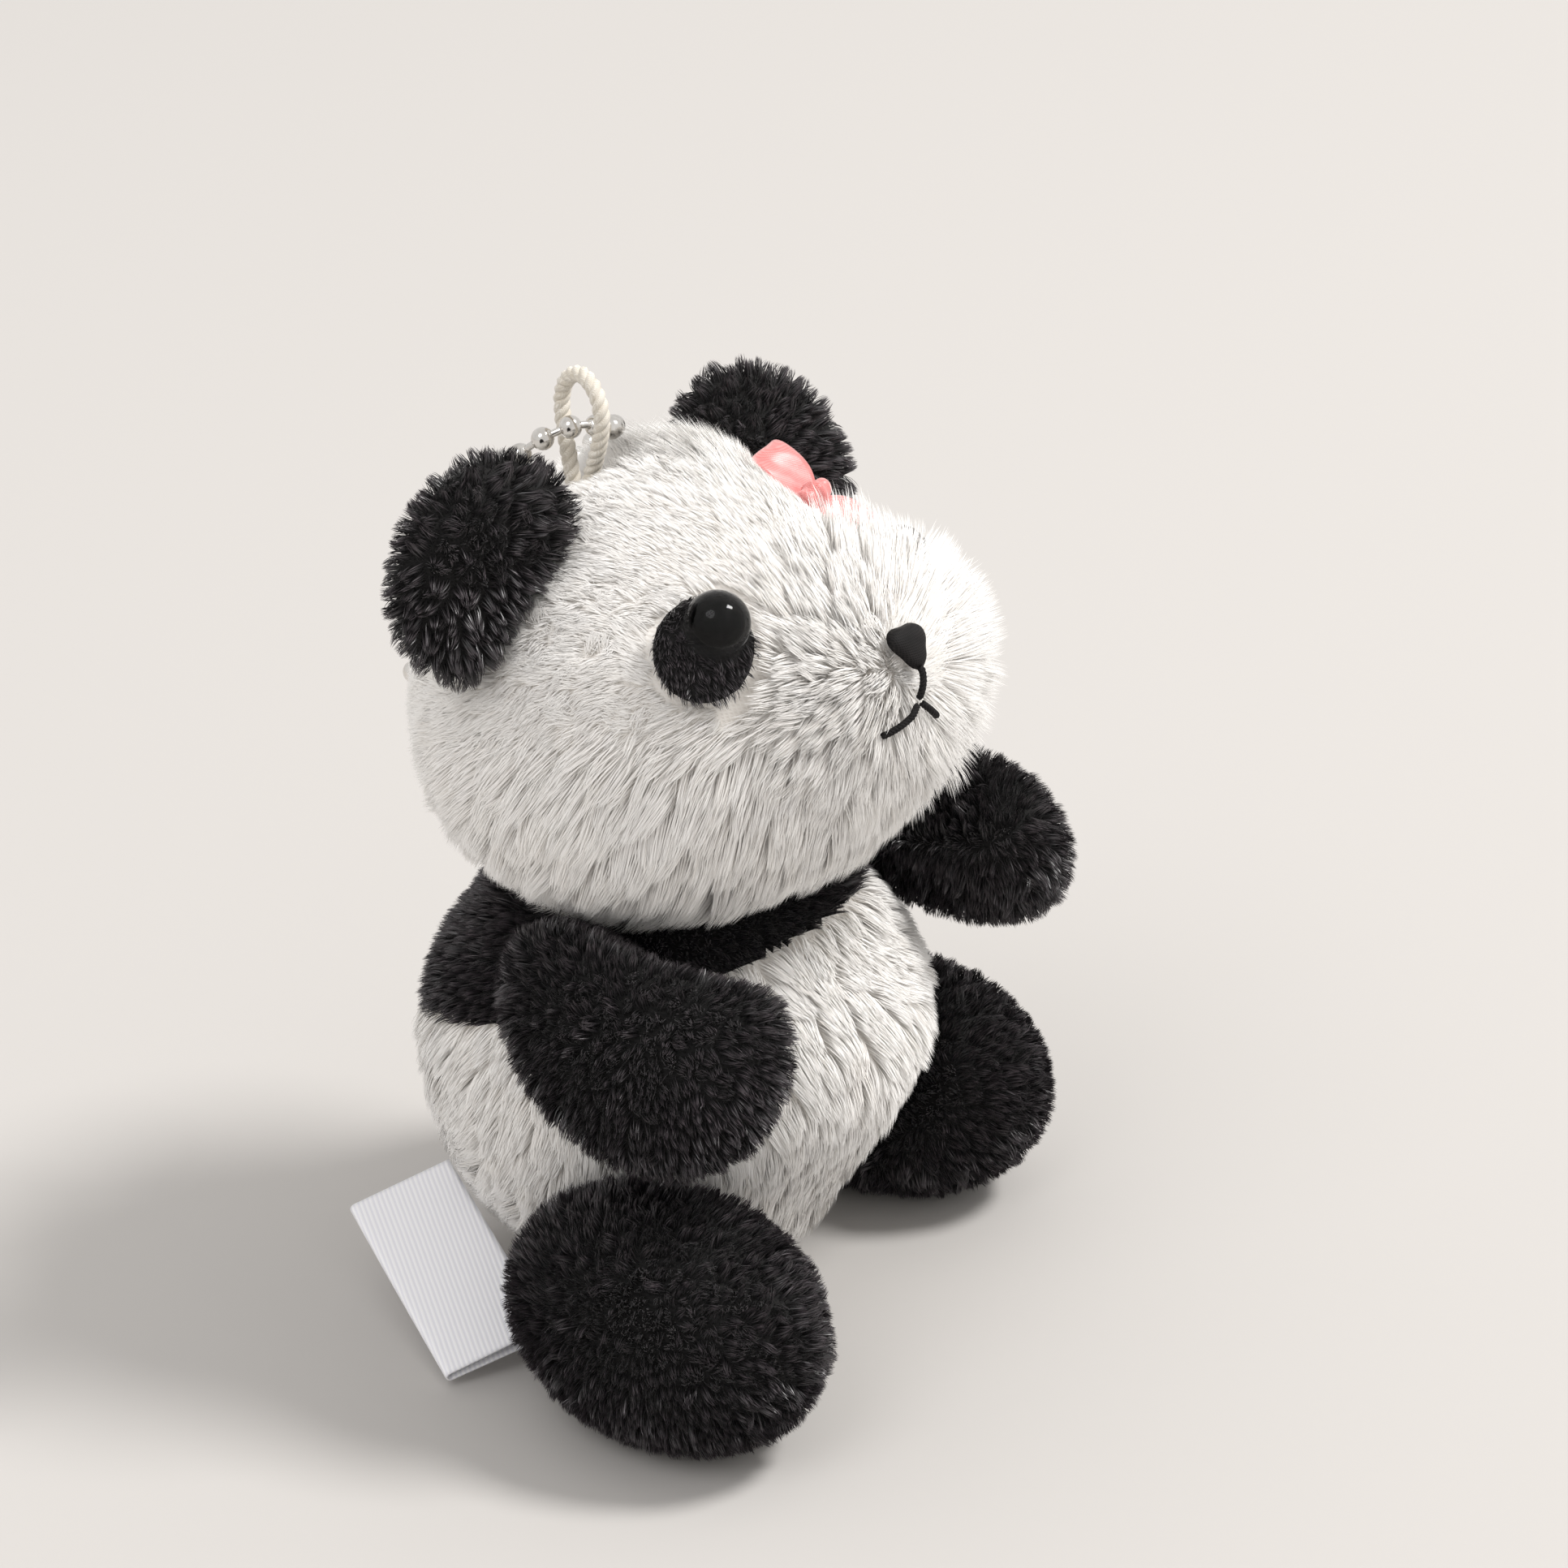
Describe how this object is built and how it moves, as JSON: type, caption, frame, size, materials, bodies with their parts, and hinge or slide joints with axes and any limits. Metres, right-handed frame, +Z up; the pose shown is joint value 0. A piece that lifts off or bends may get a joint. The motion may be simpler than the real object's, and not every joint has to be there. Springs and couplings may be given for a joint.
{
  "type": "plush keychain",
  "caption": "small sitting black and white plush bear with stuffed limbs, domed eyes, ribbon bow, side label, hanging loop and ball chain",
  "frame": {"origin": "middle of the flat seat, level with the surface it sits on", "axes": "+Z up, the face looks along -Y, its own right side is -X"},
  "size_m": [0.0827, 0.0665, 0.0999],
  "materials": {
    "white_plush": "long pile plush",
    "black_plush": "short pile plush",
    "stuffing": "loose polyester fibre",
    "clear_plastic": "clear, polished",
    "pupil": "polished",
    "washer": "moulded",
    "thread": "twisted thread",
    "ribbon": "satin",
    "label": "satin weave",
    "cord": "twisted cord",
    "nickel": "nickel plated"
  },
  "bodies": {
    "torso": {"torso_belly": "white_plush", "torso_yoke": "black_plush", "torso_stuffing": "stuffing", "label": "label"},
    "neck": {"neck_thread_ring": "thread"},
    "head": {"head_skin": "white_plush", "head_stuffing": "stuffing", "ear_right": "black_plush", "ear_left": "black_plush", "eye_lens_right": "clear_plastic", "eye_lens_left": "clear_plastic", "eye_pupil_right": "pupil", "eye_pupil_left": "pupil", "eye_washer_right": "washer", "eye_washer_left": "washer", "eye_patch_right": "black_plush", "eye_patch_left": "black_plush", "nose": "black_plush", "stitch_philtrum": "thread", "stitch_mouth_right": "thread", "stitch_mouth_left": "thread", "bow_loop_upper": "ribbon", "bow_loop_lower": "ribbon", "bow_knot": "ribbon", "hanging_loop": "cord", "hanging_loop_knot": "cord", "ball_chain": "nickel", "chain_connector": "nickel"},
    "arm_right": {"arm_right_skin": "black_plush", "arm_right_stuffing": "stuffing"},
    "arm_left": {"arm_left_skin": "black_plush", "arm_left_stuffing": "stuffing"},
    "leg_right": {"leg_right_skin": "black_plush", "leg_right_stuffing": "stuffing"},
    "leg_left": {"leg_left_skin": "black_plush", "leg_left_stuffing": "stuffing"}
  },
  "joints": [
    {"name": "head_turn", "type": "hinge", "parent": "torso", "child": "neck", "pos_m": [0, 0, 0.029], "axis": [0, 0, 1], "range_deg": [-25, 25], "stiffness_Nm_per_rad": 0.03},
    {"name": "head_nod", "type": "hinge", "parent": "neck", "child": "head", "pos_m": [0, 0, 0.029], "axis": [1, 0, 0], "range_deg": [-8, 8], "stiffness_Nm_per_rad": 0.05},
    {"name": "shoulder_right", "type": "hinge", "parent": "torso", "child": "arm_right", "pos_m": [-0.01986, -0.00255, 0.04479], "axis": [-0.7789, -0.0999, 0.6191], "range_deg": [-25, 20], "stiffness_Nm_per_rad": 0.008},
    {"name": "shoulder_left", "type": "hinge", "parent": "torso", "child": "arm_left", "pos_m": [0.02083, -0.00254, 0.04348], "axis": [0.817, -0.0996, 0.5679], "range_deg": [-10, 30], "stiffness_Nm_per_rad": 0.008},
    {"name": "hip_right", "type": "hinge", "parent": "torso", "child": "leg_right", "pos_m": [-0.02287, -0.00817, 0.01675], "axis": [-0.8408, -0.3003, -0.4504], "range_deg": [0, 12], "stiffness_Nm_per_rad": 0.012},
    {"name": "hip_left", "type": "hinge", "parent": "torso", "child": "leg_left", "pos_m": [0.02287, -0.00817, 0.01675], "axis": [0.8408, -0.3003, -0.4504], "range_deg": [-12, 0], "stiffness_Nm_per_rad": 0.012}
  ]
}
